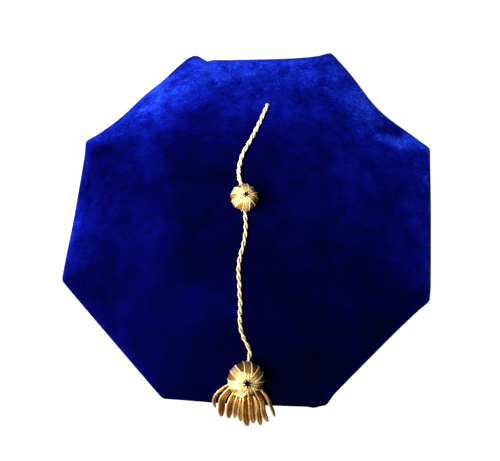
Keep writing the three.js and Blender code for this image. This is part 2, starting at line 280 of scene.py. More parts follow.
def underside_points(plan, lift, inward, inset):
    """Points of the underside: inward 0 is the seam and 1 the inside of the band."""
    outer = plan * (1 - inset / np.linalg.norm(plan, axis=-1, keepdims=True))
    place = outer * (1 - inward[..., None]) + oval_points(plan, 0.0) * inward[..., None]
    drop = SEAM_HEIGHT - BAND_HEIGHT - 2 * GAP - inset
    fall = np.sin(math.pi / 2 * inward ** UNDERSIDE_ROUNDNESS)
    height = SEAM_HEIGHT - GAP + lift * (1 - inward) - drop * fall
    return np.concatenate([place, height[..., None]], -1)


# Mesh making
SHARP_ANGLE = math.radians(60)


class Skin:
    """Gathers the vertices of one piece, each with a mark, and its faces, each with a material number."""

    def __init__(self):
        self.points = []
        self.marks = []
        self.faces = []
        self.finishes = []
        self.count = 0

    def join(self, faces, finish):
        """Adds faces between vertices that are there already."""
        self.faces.extend(faces)
        self.finishes.extend([finish] * len(faces))

    def add(self, points, faces, finish=0, mark=1.0):
        """Adds points with their marks, and faces that count from the first of these points."""
        points = np.asarray(points)
        self.join([[i + self.count for i in face] for face in faces], finish)
        self.points.append(points.reshape(-1, 3))
        self.marks.append(np.broadcast_to(mark, points.shape[:-1]).ravel())
        self.count += len(self.points[-1])

    def piece(self, name, materials, mark_name):
        mesh = bpy.data.meshes.new(name)
        mesh.from_pydata(np.concatenate(self.points).tolist(), [], self.faces)
        for material in materials:
            mesh.materials.append(material)
        mesh.polygons.foreach_set("material_index", self.finishes)
        faces = bmesh.new()
        faces.from_mesh(mesh)
        bmesh.ops.recalc_face_normals(faces, faces=faces.faces)
        faces.to_mesh(mesh)
        faces.free()
        mesh.shade_smooth()
        mesh.set_sharp_from_angle(angle=SHARP_ANGLE)
        marks = mesh.attributes.new(mark_name, "FLOAT", "POINT")
        marks.data.foreach_set("value", np.concatenate(self.marks))
        return add_object(name, mesh)


def grid_faces(rows, columns, wrap=False):
    """Quads of a grid whose columns run all the way round, and its rows too if wrap is set."""
    i, j = np.meshgrid(np.arange(rows if wrap else rows - 1), np.arange(columns), indexing="ij")
    below = (i + 1) % rows
    after = (j + 1) % columns
    quads = [i * columns + j, i * columns + after, below * columns + after, below * columns + j]
    return np.stack(quads, -1).reshape(-1, 4).tolist()


def circle(sides, count):
    """Points on a circle of radius 1 that has a number of sides, as many as the count."""
    bearing = np.arange(count) * TAU / sides
    return np.stack([np.cos(bearing), np.sin(bearing), np.zeros_like(bearing)], -1)


def path_axes(path, up):
    """The directions to the side and upwards along a path; up is one direction or one for each point."""
    tangent = unit(np.gradient(path, axis=0))
    side = unit(np.cross(tangent, up))
    return side, np.cross(side, tangent)


def sweep(path, radius, sides, up):
    """Points and faces of a closed tube; the radius may differ by point, and by point and side."""
    side, lift = path_axes(path, up)
    angle = np.arange(sides) * TAU / sides
    ring = np.cos(angle)[:, None] * side[:, None] + np.sin(angle)[:, None] * lift[:, None]
    girth = np.broadcast_to(radius, ring.shape[:-1])
    points = path[:, None] + girth[..., None] * ring
    last = (len(path) - 1) * sides
    caps = [list(range(sides)), list(range(last, last + sides))]
    return points, grid_faces(len(path), sides) + caps


def catmull_rom(points, steps):
    """A smooth curve through points, with knots spaced by the square roots of the chords."""
    points = np.asarray(points, float)
    padded = np.concatenate([2 * points[:1] - points[1:2], points, 2 * points[-1:] - points[-2:-1]])
    parts = []
    for p0, p1, p2, p3 in zip(padded, padded[1:], padded[2:], padded[3:]):
        d0, d1, d2 = (math.sqrt(np.linalg.norm(b - a)) for a, b in ((p0, p1), (p1, p2), (p2, p3)))
        start = ((p1 - p0) / d0 - (p2 - p0) / (d0 + d1) + (p2 - p1) / d1) * d1
        end = ((p2 - p1) / d1 - (p3 - p1) / (d1 + d2) + (p3 - p2) / d2) * d1
        t = np.linspace(0, 1, steps, endpoint=False)[:, None]
        parts.append(p1 + start * t + (3 * (p2 - p1) - 2 * start - end) * t ** 2
                     + (2 * (p1 - p2) + start + end) * t ** 3)
    return np.concatenate(parts + [points[-1:]])


def path_lengths(path):
    return np.concatenate([[0], np.cumsum(np.linalg.norm(np.diff(path, axis=0), axis=1))])


def resampled(path, count):
    lengths = path_lengths(path)
    marks = np.linspace(0, lengths[-1], count)
    return np.stack([np.interp(marks, lengths, path[:, k]) for k in range(3)], -1)


# Noise of different seeds is read at places that are these shifts apart
NOISE_SHIFT = (17.3, 5.1, 9.7)
TOP_SWELLS, TOP_PATCHES, TOP_PUCKERS, UNDER_SWELLS, RAGS_X, RAGS_Y = range(1, 7)


def soft_noise(points, size, seed):
    """Smooth noise between about -1 and 1, with swells of a given size."""
    shift = Vector([seed * step for step in NOISE_SHIFT])
    places = np.asarray(points)
    values = [noise.noise(Vector(place) / size + shift) for place in places.reshape(-1, 3).tolist()]
    return np.array(values).reshape(places.shape[:-1])


# Materials
def new_material(name):
    material = bpy.data.materials.new(name)
    material.use_nodes = True
    tree = material.node_tree
    return material, tree, tree.nodes["Principled BSDF"]


def set_inputs(node, inputs):
    for name, value in inputs.items():
        node.inputs[name].default_value = value


def add_node(tree, kind, **inputs):
    node = tree.nodes.new(kind)
    set_inputs(node, inputs)
    return node


def add_noise(tree, place, scale, detail=2.0, roughness=0.5):
    node = add_node(tree, "ShaderNodeTexNoise", Scale=scale, Detail=detail, Roughness=roughness)
    tree.links.new(place, node.inputs["Vector"])
    return node.outputs["Fac"]


def add_ramp(tree, factor, stops):
    node = tree.nodes.new("ShaderNodeValToRGB")
    elements = node.color_ramp.elements
    while len(elements) < len(stops):
        elements.new(0.5)
    for element, (position, colour) in zip(elements, stops):
        element.position = position
        element.color = (*colour, 1)
    tree.links.new(factor, node.inputs["Fac"])
    return node.outputs["Color"]


def add_math(tree, operation, a, b):
    node = tree.nodes.new("ShaderNodeMath")
    node.operation = operation
    for socket, value in zip(node.inputs, (a, b)):
        if isinstance(value, (int, float)):
            socket.default_value = value
        else:
            tree.links.new(value, socket)
    return node.outputs["Value"]


def add_product(tree, first, *others):
    product = first
    for other in others:
        product = add_math(tree, "MULTIPLY", product, other)
    return product


def add_bump(tree, height, strength, distance, under=None):
    node = add_node(tree, "ShaderNodeBump", Strength=strength, Distance=distance)
    tree.links.new(height, node.inputs["Height"])
    if under is not None:
        tree.links.new(under, node.inputs["Normal"])
    return node.outputs["Normal"]


def object_place(tree):
    return tree.nodes.new("ShaderNodeTexCoord").outputs["Object"]


def vertex_mark(tree, name):
    node = tree.nodes.new("ShaderNodeAttribute")
    node.attribute_name = name
    return node.outputs["Fac"]


# Velvet: the pile leans, is dark seen along its hairs and bright seen across them
PILE_LEAN = (0.10, 0.35, 0.0)
PILE_POWER = 2.6
PILE_MOST = 0.36
PILE_GAIN = 0.69
PILE_BASE = 0.0119
PILE_STOPS = [
    (0.0, (0.0002, 0.0002, 0.001)),
    (0.018, (0.0004, 0.0004, 0.018)),
    (0.05, (0.0006, 0.0008, 0.050)),
    (0.16, (0.0017, 0.0034, 0.160)),
    (0.26, (0.0028, 0.0088, 0.260)),
    (0.45, (0.0070, 0.0255, 0.450)),
    (0.80, (0.0160, 0.0600, 0.750)),
]
PILE_FINISH = {
    "Roughness": 0.95,
    "Specular IOR Level": 0.0,
    "Sheen Weight": 0.06,
    "Sheen Roughness": 0.4,
    "Sheen Tint": (0.012, 0.05, 1.0, 1),
}
FACING_BLEND = 0.5

# Noise in the pile from wide sweeps to single grains
SWEEP_NOISE = {"scale": 26, "detail": 3, "roughness": 0.55}
SWEEP_CONTRAST = 1.6
PATCH_NOISE = {"scale": 80, "detail": 3, "roughness": 0.75}
PATCH_CONTRAST = 2.6
PATCH_BUMP = {"strength": 0.15, "distance": 0.003}
DARK_CONTRAST = 1.5
TUFT_NOISE = {"scale": 150, "detail": 3, "roughness": 0.7}
TUFT_START = 0.57
TUFT_LIFT = 6.0
GRAIN_NOISE = {"scale": 640, "detail": 2, "roughness": 0.6}
GRAIN_BUMP = {"strength": 0.2, "distance": 0.0005}
GRAIN_FLOOR = 0.92
GRAIN_SPARKLE = 4.0
GRAIN_START = 0.52
GRAIN_SHOWS = 5.0
FLECK_SHARE = 0.25
NOISE_MIDDLE = 0.5
LEAST_FACTOR = 0.1


def leaning_pile(tree, normal):
    """The direction of the pile: the surface's normal, leaning to one side of the object."""
    lean = tree.nodes.new("ShaderNodeVectorTransform")
    lean.vector_type = "VECTOR"
    lean.convert_from = "OBJECT"
    lean.convert_to = "WORLD"
    lean.inputs["Vector"].default_value = PILE_LEAN
    total = tree.nodes.new("ShaderNodeVectorMath")
    tree.links.new(normal, total.inputs[0])
    tree.links.new(lean.outputs["Vector"], total.inputs[1])
    direction = tree.nodes.new("ShaderNodeVectorMath")
    direction.operation = "NORMALIZE"
    tree.links.new(total.outputs["Vector"], direction.inputs[0])
    return direction.outputs["Vector"]


def contrast(tree, value, strength):
    """A factor round 1 made from noise round a half."""
    spread = add_product(tree, add_math(tree, "SUBTRACT", value, NOISE_MIDDLE), strength)
    return add_math(tree, "MAXIMUM", add_math(tree, "ADD", spread, 1.0), LEAST_FACTOR)


def peaks(tree, value, start, lift, floor):
    """A factor that rises above its floor where noise is higher than a start."""
    above = add_math(tree, "MAXIMUM", add_math(tree, "SUBTRACT", value, start), 0.0)
    return add_math(tree, "ADD", add_product(tree, above, lift), floor)


def pile_sheen(tree, nap):
    """How far the pile is seen across its hairs."""
    across = add_node(tree, "ShaderNodeLayerWeight", Blend=FACING_BLEND)
    tree.links.new(leaning_pile(tree, nap), across.inputs["Normal"])
    sheen = add_math(tree, "POWER", across.outputs["Facing"], PILE_POWER)
    return add_math(tree, "MINIMUM", sheen, PILE_MOST)


def pile_speckle(tree, place, grain):
    """How much brighter single grains and tufts are than the pile round them."""
    sparkle = peaks(tree, grain, GRAIN_START, GRAIN_SPARKLE, GRAIN_FLOOR)
    tufts = peaks(tree, add_noise(tree, place, **TUFT_NOISE), TUFT_START, TUFT_LIFT, 1.0)
    return add_math(tree, "SUBTRACT", add_product(tree, sparkle, tufts), 1.0)


def velvet_material():
    material, tree, surface = new_material("velvet_pile")
    place = object_place(tree)
    sweeps = add_noise(tree, place, **SWEEP_NOISE)
    patches = add_noise(tree, place, **PATCH_NOISE)
    grain = add_noise(tree, place, **GRAIN_NOISE)
    nap = add_bump(tree, grain, **GRAIN_BUMP, under=add_bump(tree, patches, **PATCH_BUMP))
    sheen = pile_sheen(tree, nap)
    speckle = pile_speckle(tree, place, grain)
    flecks = add_math(tree, "ADD", add_product(tree, speckle, FLECK_SHARE), 1.0)
    base = add_product(tree, flecks, PILE_BASE, contrast(tree, patches, DARK_CONTRAST))
    shows = add_math(tree, "MINIMUM", add_product(tree, sheen, GRAIN_SHOWS), 1.0)
    sparkle = add_math(tree, "ADD", add_product(tree, speckle, shows), 1.0)
    shine = add_product(tree, sheen, PILE_GAIN, sparkle, contrast(tree, patches, PATCH_CONTRAST))
    total = add_math(tree, "ADD", shine, base)
    # The vertex mark brightens and darkens the pile: its brushing, painted light and shade, and painted shade
    # along the seam
    factor = add_product(tree, total, vertex_mark(tree, "brushing_and_light"), contrast(tree, sweeps, SWEEP_CONTRAST))
    tree.links.new(add_ramp(tree, factor, PILE_STOPS), surface.inputs["Base Color"])
    tree.links.new(nap, surface.inputs["Normal"])
    set_inputs(surface, PILE_FINISH)
    return material


# Woven backing on the inside
WEAVE_SCALE = 300
BACKING_SCALE = 400
BACKING_STOPS = [(0.3, (0.003, 0.005, 0.05)), (0.7, (0.008, 0.014, 0.11))]
BACKING_BUMP = {"strength": 0.4, "distance": 0.0004}
BACKING_FINISH = {"Roughness": 0.85}


def backing_material():
    material, tree, surface = new_material("velvet_backing")
    place = object_place(tree)
    weave = add_node(tree, "ShaderNodeTexWave", Scale=WEAVE_SCALE)
    tree.links.new(place, weave.inputs["Vector"])
    colour = add_ramp(tree, add_noise(tree, place, BACKING_SCALE), BACKING_STOPS)
    tree.links.new(colour, surface.inputs["Base Color"])
    tree.links.new(add_bump(tree, weave.outputs["Fac"], **BACKING_BUMP), surface.inputs["Normal"])
    set_inputs(surface, BACKING_FINISH)
    return material


# Threads: how they vary along their length, and their colours by tone from shaded to bright
TONE_SHARE = 0.6
BLOTCH_SCALE = 320
FINE_SCALE = 2600
FINE_BUMP = {"strength": 0.35, "distance": 0.0002}
ROUGHNESS_SPREAD = [(0.3, 0.8), (0.7, 1.2)]
HIGHLIGHT = (1.0, 0.92, 0.76, 1)
CORD_STOPS = [
    (0.2, (0.10, 0.06, 0.002)),
    (0.42, (0.44, 0.32, 0.03)),
    (0.65, (0.62, 0.51, 0.28)),
    (0.8, (0.98, 0.90, 0.56)),
]
BAND_STOPS = [(0.2, (0.17, 0.075, 0.006)), (0.5, (0.47, 0.29, 0.07)), (0.8, (1.00, 0.78, 0.36))]
EDGE_STOPS = [(0.2, (0.42, 0.27, 0.09)), (0.8, (1.00, 0.84, 0.50))]
WEDGE_STOPS = [(0.2, (0.17, 0.050, 0.002)), (0.8, (0.92, 0.38, 0.022))]
BULLION_STOPS = [(0.2, (0.07, 0.018, 0.001)), (0.4, (0.31, 0.085, 0.002)), (0.8, (1.00, 0.68, 0.26))]


def thread_material(name, stops, roughness, metallic, gloss):
    """Metallic thread: each has its tone, and its colour and roughness vary along it."""
    material, tree, surface = new_material(name)
    place = object_place(tree)
    blotch = add_noise(tree, place, BLOTCH_SCALE)
    fine = add_noise(tree, place, FINE_SCALE)
    mottle = add_product(tree, add_math(tree, "ADD", blotch, fine), (1 - TONE_SHARE) / 2)
    shade = add_math(tree, "ADD", add_product(tree, vertex_mark(tree, "tone"), TONE_SHARE), mottle)
    tree.links.new(add_ramp(tree, shade, stops), surface.inputs["Base Color"])
    tree.links.new(add_bump(tree, fine, **FINE_BUMP), surface.inputs["Normal"])
    rough_stops = [(at, (roughness * times,) * 3) for at, times in ROUGHNESS_SPREAD]
    tree.links.new(add_ramp(tree, blotch, rough_stops), surface.inputs["Roughness"])
    set_inputs(surface, {"Metallic": metallic, "Specular IOR Level": gloss, "Specular Tint": HIGHLIGHT})
    return material


# The hollow at a ball's pole, where the ends of the threads vanish, coloured near black as painted shade
EYE_SCALE = 1500
EYE_STOPS = [(0.3, (0.006, 0.002, 0.001)), (0.7, (0.03, 0.012, 0.004))]
EYE_FINISH = {"Roughness": 0.9}


def eye_material():
    material, tree, surface = new_material("eye_shade")
    fluff = add_noise(tree, object_place(tree), EYE_SCALE)
    tree.links.new(add_ramp(tree, fluff, EYE_STOPS), surface.inputs["Base Color"])
    set_inputs(surface, EYE_FINISH)
    return material


CORD_THREAD = thread_material("cord_thread", CORD_STOPS, roughness=0.42, metallic=0.0, gloss=0.30)
BULLION_WIRE = thread_material("bullion_wire", BULLION_STOPS, roughness=0.34, metallic=0.75, gloss=0.08)

# Materials of the cloth and of the balls, and their numbers in these lists
CLOTH_FINISHES = [velvet_material(), backing_material()]
PILE, BACKING = range(len(CLOTH_FINISHES))
BALL_FINISHES = [
    thread_material("band_thread", BAND_STOPS, roughness=0.35, metallic=0.50, gloss=0.12),
    thread_material("edge_thread", EDGE_STOPS, roughness=0.42, metallic=0.30, gloss=0.15),
    thread_material("wedge_thread", WEDGE_STOPS, roughness=0.42, metallic=0.60, gloss=0.05),
    eye_material(),
]
BAND, EDGE, WEDGE, EYE = range(len(BALL_FINISHES))


# Outline that the three velvet pieces share
STEPS_PER_SIDE = 52
AROUND = SIDE_COUNT * STEPS_PER_SIDE
TURNS = np.arange(AROUND) / STEPS_PER_SIDE
CORNER_SOFTNESS = np.array([1, 2, 1]) / 4

# Small tucks and bumps of the seam: place in sides from the first corner, half width, and how far outward
TUCKS = np.array([
    (1.885, 0.026, -0.0016),
    (1.945, 0.034, 0.0020),
    (2.005, 0.016, -0.0007),
    (2.290, 0.130, -0.0013),
    (5.925, 0.026, 0.0009),
])


def edge_outline():
    plan, lift = seam(TURNS)
    reach = len(CORNER_SOFTNESS) // 2
    plan = sum(weight * np.roll(plan, k - reach, axis=0) for k, weight in enumerate(CORNER_SOFTNESS))
    push = sum(out * np.exp(-(((TURNS - at) / half) ** 2)) for at, half, out in TUCKS)
    return plan + unit(plan) * push[:, None], lift


EDGE_PLAN, EDGE_LIFT = edge_outline()


# Brush strokes on the top, partly the pile's brushing and partly painted highlight and painted shade, such as
# the light and dark strips at the right-back fold: middle, half length, half width, bearing, squareness, and
# how much brighter
BRUSH_AND_LIGHT_STROKES = np.array([
    (-0.078, -0.068, 0.062, 0.021, 90, 4, 1.05),
    (-0.095, -0.090, 0.070, 0.055, 90, 2, 0.95),
    (-0.025, -0.078, 0.027, 0.020, 0, 4, 1.05),
    (-0.030, -0.120, 0.036, 0.025, 0, 2, 0.30),
    (-0.083, -0.030, 0.016, 0.018, 90, 2, 0.45),
    (-0.077, 0.062, 0.022, 0.011, 70, 2, 0.95),
    (-0.073, 0.024, 0.026, 0.010, 100, 2, 0.75),
    (-0.092, 0.020, 0.026, 0.014, 90, 2, 0.35),
    (-0.124, 0.030, 0.036, 0.022, 90, 2, -0.44),
    (-0.026, 0.022, 0.042, 0.026, 0, 2, -0.28),
    (-0.060, 0.098, 0.036, 0.022, 40, 4, 0.85),
    (-0.045, 0.075, 0.018, 0.007, 12, 4, -0.45),
    (-0.010, 0.075, 0.032, 0.010, 0, 4, 0.40),
    (0.005, 0.100, 0.075, 0.032, 0, 4, 0.25),
    (0.010, 0.134, 0.060, 0.009, 0, 2, 0.05),
    (0.040, 0.072, 0.030, 0.010, 10, 4, 0.20),
    (0.025, 0.112, 0.030, 0.008, 0, 2, -0.08),
    (0.072, 0.005, 0.030, 0.014, 90, 2, 0.55),
    (0.092, 0.096, 0.024, 0.015, -45, 2, 0.60),
    (0.130, 0.005, 0.034, 0.012, 90, 2, -0.20),
    (0.130, 0.060, 0.030, 0.018, 90, 2, 0.15),
    (0.088, -0.092, 0.040, 0.030, 45, 2, -0.30),
    (0.040, -0.122, 0.045, 0.030, 10, 2, -0.36),
    (0.116, 0.0615, 0.019, 0.0055, 5, 4, 0.90),
    (0.107, 0.0745, 0.014, 0.007, -40, 4, -0.60),
    (-0.035, 0.058, 0.032, 0.009, 5, 2, 0.40),
    (0.046, 0.018, 0.045, 0.026, 90, 2, 0.35),
    (-0.112, -0.005, 0.055, 0.016, 90, 2, 0.30),
    (0.110, -0.086, 0.030, 0.010, 45, 2, -0.35),
    (0.070, 0.112, 0.016, 0.014, 0, 2, -0.40),
    (0.030, 0.121, 0.014, 0.008, 0, 2, 0.45),
    (-0.100, 0.082, 0.026, 0.012, 45, 2, 0.40),
    (-0.112, 0.044, 0.014, 0.011, 0, 2, -0.40),
    (0.076, 0.062, 0.022, 0.011, 0, 2, 0.30),
    (-0.010, 0.082, 0.032, 0.009, 90, 2, 0.35),
    (-0.090, 0.042, 0.024, 0.010, 90, 2, 0.35),
    (0.108, -0.030, 0.014, 0.010, 0, 2, 0.45),
    (-0.024, -0.073, 0.009, 0.006, -20, 2, 1.10),
    (-0.011, -0.080, 0.005, 0.005, 0, 2, 1.10),
    (0.072, -0.077, 0.008, 0.006, -20, 2, 0.35),
    (0.080, -0.099, 0.014, 0.010, 45, 2, 0.50),
])
RAGGEDNESS = 0.006
RAG_SIZE = 0.018
LEAST_GAIN = 0.3
# Painted shade along the seam: how dark, and how far from the seam it reaches
SEAM_SHADE = 0.7
SEAM_SHADE_REACH = 0.0010


def brush_and_light_gain(points):
    """How much brighter the pile looks from its brushing and from painted light and shade, 1 where it is
    untouched; the strokes have ragged borders.
    """
    x = points[..., 0] + RAGGEDNESS * soft_noise(points, RAG_SIZE, RAGS_X)
    y = points[..., 1] + RAGGEDNESS * soft_noise(points, RAG_SIZE, RAGS_Y)
    gain = np.ones_like(x)
    for *spot, square, more in BRUSH_AND_LIGHT_STROKES:
        along, across = spot_axes(x, y, *spot)
        gain += more * np.exp(-np.abs(along) ** square - np.abs(across) ** square)
    return np.maximum(gain, LEAST_GAIN)


def seam_shade(distance):
    """Painted shade along the seam: the pile is darkened close to it."""
    return 1 - SEAM_SHADE * np.exp(-((distance / SEAM_SHADE_REACH) ** 2))


# Crown top
TOP_OUTER_RINGS = 120
TOP_INNER_RINGS = 30
RING_CROWDING = 1.3
SWELL_SIZE = 0.055
SWELL = 0.0008
PATCH_SIZE = 0.016
PATCH = 0.00022
PUCKER = 0.0004
PUCKER_SIZE = 0.007
PUCKER_REACH = 0.010
CALM_POWER = 12


def ring_shares(count):
    """How far out the rings of the top lie, closer together at the seam."""
    return 1 - (1 - np.linspace(0, 1, count + 1)[1:, None]) ** RING_CROWDING


def dome_skin(outer, inner, gain):
    """The pile's dome with its brush marks and painted light and shade, the backing's dome inside, and the rim
    between them.
    """
    skin = Skin()
    rims = []
    for rings, finish, mark in ((outer, PILE, np.append(gain, 1.0)), (inner, BACKING, 1.0)):
        pole = len(rings) * AROUND
        rims.append(skin.count + pole - AROUND + np.arange(AROUND))
        points = np.concatenate([rings.reshape(-1, 3), [rings[0].mean(axis=0)]])
        fan = [[pole, j, (j + 1) % AROUND] for j in range(AROUND)]
        skin.add(points, grid_faces(len(rings), AROUND) + fan, finish, mark)
    skin.join(np.concatenate(rims)[np.array(grid_faces(2, AROUND))].tolist(), BACKING)
    return skin


def crown_top():
    share = ring_shares(TOP_OUTER_RINGS)
    outer = top_points(EDGE_PLAN, EDGE_LIFT, share, 0.0)
    inner = top_points(EDGE_PLAN, EDGE_LIFT, ring_shares(TOP_INNER_RINGS), CLOTH)
    from_seam = (1 - share) * np.linalg.norm(EDGE_PLAN, axis=-1)
    calm = 1 - share ** CALM_POWER
    outer[..., 2] += SWELL * calm * soft_noise(outer, SWELL_SIZE, TOP_SWELLS)
    outer[..., 2] += PATCH * calm * soft_noise(outer, PATCH_SIZE, TOP_PATCHES)
    near_seam = np.exp(-from_seam / PUCKER_REACH)
    outer[..., 2] += PUCKER * calm * near_seam * soft_noise(outer, PUCKER_SIZE, TOP_PUCKERS)
    # Brush marks and painted light and shade, with painted shade along the seam
    skin = dome_skin(outer, inner, brush_and_light_gain(outer) * seam_shade(from_seam))
    return skin.piece("velvet_top", CLOTH_FINISHES, "brushing_and_light")


# Crown underside
UNDER_OUTER_RINGS = 56
UNDER_INNER_RINGS = 16
UNDER_CROWDING = 1.4


def under_shares(count):
    """How far inward the rings of the underside lie, closer together at the seam."""
    return np.broadcast_to(np.linspace(0, 1, count)[:, None] ** UNDER_CROWDING, (count, AROUND))


def crown_underside():
    outer_share = under_shares(UNDER_OUTER_RINGS)[::-1]
    outer = underside_points(EDGE_PLAN, EDGE_LIFT, outer_share, 0.0)
    inner = underside_points(EDGE_PLAN, EDGE_LIFT, under_shares(UNDER_INNER_RINGS), CLOTH)
    fade = np.sqrt(np.sin(math.pi * outer_share))
    outer[..., 2] += SWELL * fade * soft_noise(outer, SWELL_SIZE, UNDER_SWELLS)
    # Painted shade along the underside's seam
    shade = seam_shade(np.linalg.norm(outer - outer[-1], axis=-1))
    faces = grid_faces(len(outer) + len(inner), AROUND, wrap=True)
    outer_faces = (len(outer) - 1) * AROUND
    skin = Skin()
    skin.add(outer, faces[:outer_faces], PILE, shade)
    skin.add(inner, [])
    skin.join(faces[outer_faces:], BACKING)
    return skin.piece("velvet_underside", CLOTH_FINISHES, "brushing_and_light")


# Head band
BAND_ROWS = 40
BAND_ROUNDING = 0.0009
RIM_STEPS = 5


def band_section():
    """Wall offsets and heights of the band's section, with rounded rims, starting inside at the bottom."""
    bend = np.linspace(0, math.pi / 2, RIM_STEPS)
    r = BAND_ROUNDING
    rise = np.linspace(r, BAND_HEIGHT - r, BAND_ROWS)[1:-1]
    corners = [
        np.stack([r - r * np.cos(bend), r - r * np.sin(bend)], -1),
        np.stack([BAND_WALL - r + r * np.sin(bend), r - r * np.cos(bend)], -1),
        np.stack([np.full_like(rise, BAND_WALL), rise], -1),
        np.stack([BAND_WALL - r + r * np.cos(bend), BAND_HEIGHT - r + r * np.sin(bend)], -1),
        np.stack([r - r * np.sin(bend), BAND_HEIGHT - r + r * np.cos(bend)], -1),
        np.stack([np.zeros_like(rise), rise[::-1]], -1),
    ]
    return np.concatenate(corners)


def headband():
    rings = []
    for wall, height in band_section():
        place = oval_points(EDGE_PLAN, wall)
        rings.append(np.concatenate([place, np.full((AROUND, 1), height)], -1))
    skin = Skin()
    skin.add(np.array(rings), grid_faces(len(rings), AROUND, wrap=True))
    return skin.piece("velvet_band", CLOTH_FINISHES[:1], "brushing_and_light")


# Cord
STRANDS = 2
PLIES = 3
PLY_OFFSET = 0.00046
PLY_RADIUS = 0.00058
PLY_SIDES = 6
ROUTE_STEPS = 24
CORD_STEPS = 520
STRAND_PITCH = 0.0125
PLY_PITCH = 0.0042
END_TAPER = 0.0022
LEAST_TAPER = 0.2

# Where the painted shade of a groove starts and where it is full: turns from a strand's middle, and rises on
# the cord
GROOVE_TURN = (math.radians(38), math.radians(58))
GROOVE_RISE = (0.35, 0.8)

# The cord by how far along it is: its tone, how dark the painted shade in its grooves is, the strands' offset
# and thickness
CORD_STRETCHES = np.array([
    (0.0, 1.08, 0.55, 0.00057, 1.0),
    (0.38, 1.08, 0.55, 0.00057, 1.0),
    (0.45, 0.84, 1.0, 0.00071, 0.85),
    (0.84, 0.78, 1.0, 0.00071, 0.85),
    (0.88, 0.68, 1.0, 0.00060, 0.76),
    (0.94, 0.68, 1.0, 0.00060, 0.76),
    (0.96, 0.80, 1.0, 0.00066, 0.82),
    (1.0, 0.80, 1.0, 0.00066, 0.82),
])


def cord_path():
    points = np.array([(x, y, top_height(x, y) + rise) for x, y, rise in ROUTE])
    return resampled(catmull_rom(points, ROUTE_STEPS), CORD_STEPS)


CORD_PATH = cord_path()
CORD_LENGTH = float(path_lengths(CORD_PATH)[-1])


def groove_shade_depth(points, side, lift, turn):
    """How deep in a groove between the strands points lie, 1 at most, on the upper side of the cord; this sets
    the painted shade in the grooves.
    """
    out = points - CORD_PATH[:, None]
    across = (out * side[:, None]).sum(-1)
    rise = (out * lift[:, None]).sum(-1)
    off_strand = np.abs((np.arctan2(rise, across) - turn + math.pi) % TAU - math.pi)
    on_top = np.interp(rise / np.linalg.norm(out, axis=-1), GROOVE_RISE, (0, 1))
    return on_top * np.interp(off_strand, GROOVE_TURN, (0, 1))


def twisted_cord():
    along = path_lengths(CORD_PATH)
    side, lift = path_axes(CORD_PATH, UP)
    from_end = np.minimum(1, along / END_TAPER)
    taper = np.sqrt(1 - (1 - from_end) ** 2)[:, None]
    tone, groove, offset, thick = (
        np.interp(along / CORD_LENGTH, CORD_STRETCHES[:, 0], column)[:, None]
        for column in CORD_STRETCHES.T[1:]
    )
    girth = PLY_RADIUS * thick * np.maximum(taper, LEAST_TAPER)
    skin = Skin()
    for strand in range(STRANDS):
        turn = (TAU * (along / STRAND_PITCH + strand / STRANDS))[:, None]
        centre = CORD_PATH + offset * taper * (np.cos(turn) * side + np.sin(turn) * lift)
        for ply in range(PLIES):
            spin = (TAU * (along / PLY_PITCH + ply / PLIES))[:, None]
            line = centre + PLY_OFFSET * thick * taper * (np.cos(spin) * side + np.sin(spin) * lift)
            points, faces = sweep(line, girth, PLY_SIDES, UP)
            # Painted shade in the grooves between the strands, on the cord's upper side
            shade = 1 - groove * groove_shade_depth(points, side, lift, turn)
            skin.add(points, faces, mark=tone * shade)
    return skin.piece("twisted_cord", [CORD_THREAD], "tone")


# Wound balls
BAND_FILL = 0.8
THREAD_STEPS = 44
THREAD_SIDES = 6
EDGE_THREAD = 0.00030
EDGE_RAISE = 0.00020
EDGE_LEAST = 0.65
EDGE_CAP_TONE = 0.8
CORE_INSET = 0.0004
RIBS_PER_BAND = 12
RIB_STEPS = 4
RIB_DEPTH = 0.00012
# How much darker the rib troughs are painted, as painted shade
RIB_SHADE = 0.3
CORE_RINGS = 40
EYE_SHARE = 0.30
EYE_WALL = [(0.10, 0.25), (0.24, 0.74)]
THREAD_START = {"middle": 0.17, "edge": 0.31, "rim": 0.42}
THREAD_END = {"inward": 0.012, "height": 0.86}
TAPER_SHARE = 0.6
TAPER_LEAST = 0.45
SQUEEZE_POWER = 4
POLE_GAP = 0.06
CAP_FADE = (0.45, 0.65)
CAP_REACH = 0.64
CAP_TONE = 0.9
BAND_EVENNESS = 0.7

# Bands: count, first bearing in degrees and width; tones of threads, of each band beyond the cap and of each
# wedge. The tones of the bands beyond the cap and of the wedge floss are painted light and shade, given side
# by side round the ball.
SLIDER_BANDS = {
    "count": 6,
    "first": 38,
    "width": 0.0050,
    "threads": (0.95, 0.60, 1.0, 0.65, 0.90),
    "bands": (0.0, 0.7, 1.0, 1.0, 0.9, 0.0),
    "wedge_light_and_shade": (0.9, 0.6, 1.0, 1.0, 0.4, 1.0),
}
HEAD_BANDS = {
    "count": 7,
    "first": 87,
    "width": 0.0054,
    "threads": (0.75, 0.25, 0.82, 0.30, 0.70),
    "bands": (0.35, 0.9, 1.3, 1.3, 0.0, 0.05, 0.2),
    "wedge_light_and_shade": (0.0, 0.4, 1.0, 0.2, 0.0, 0.0, 0.0),
}


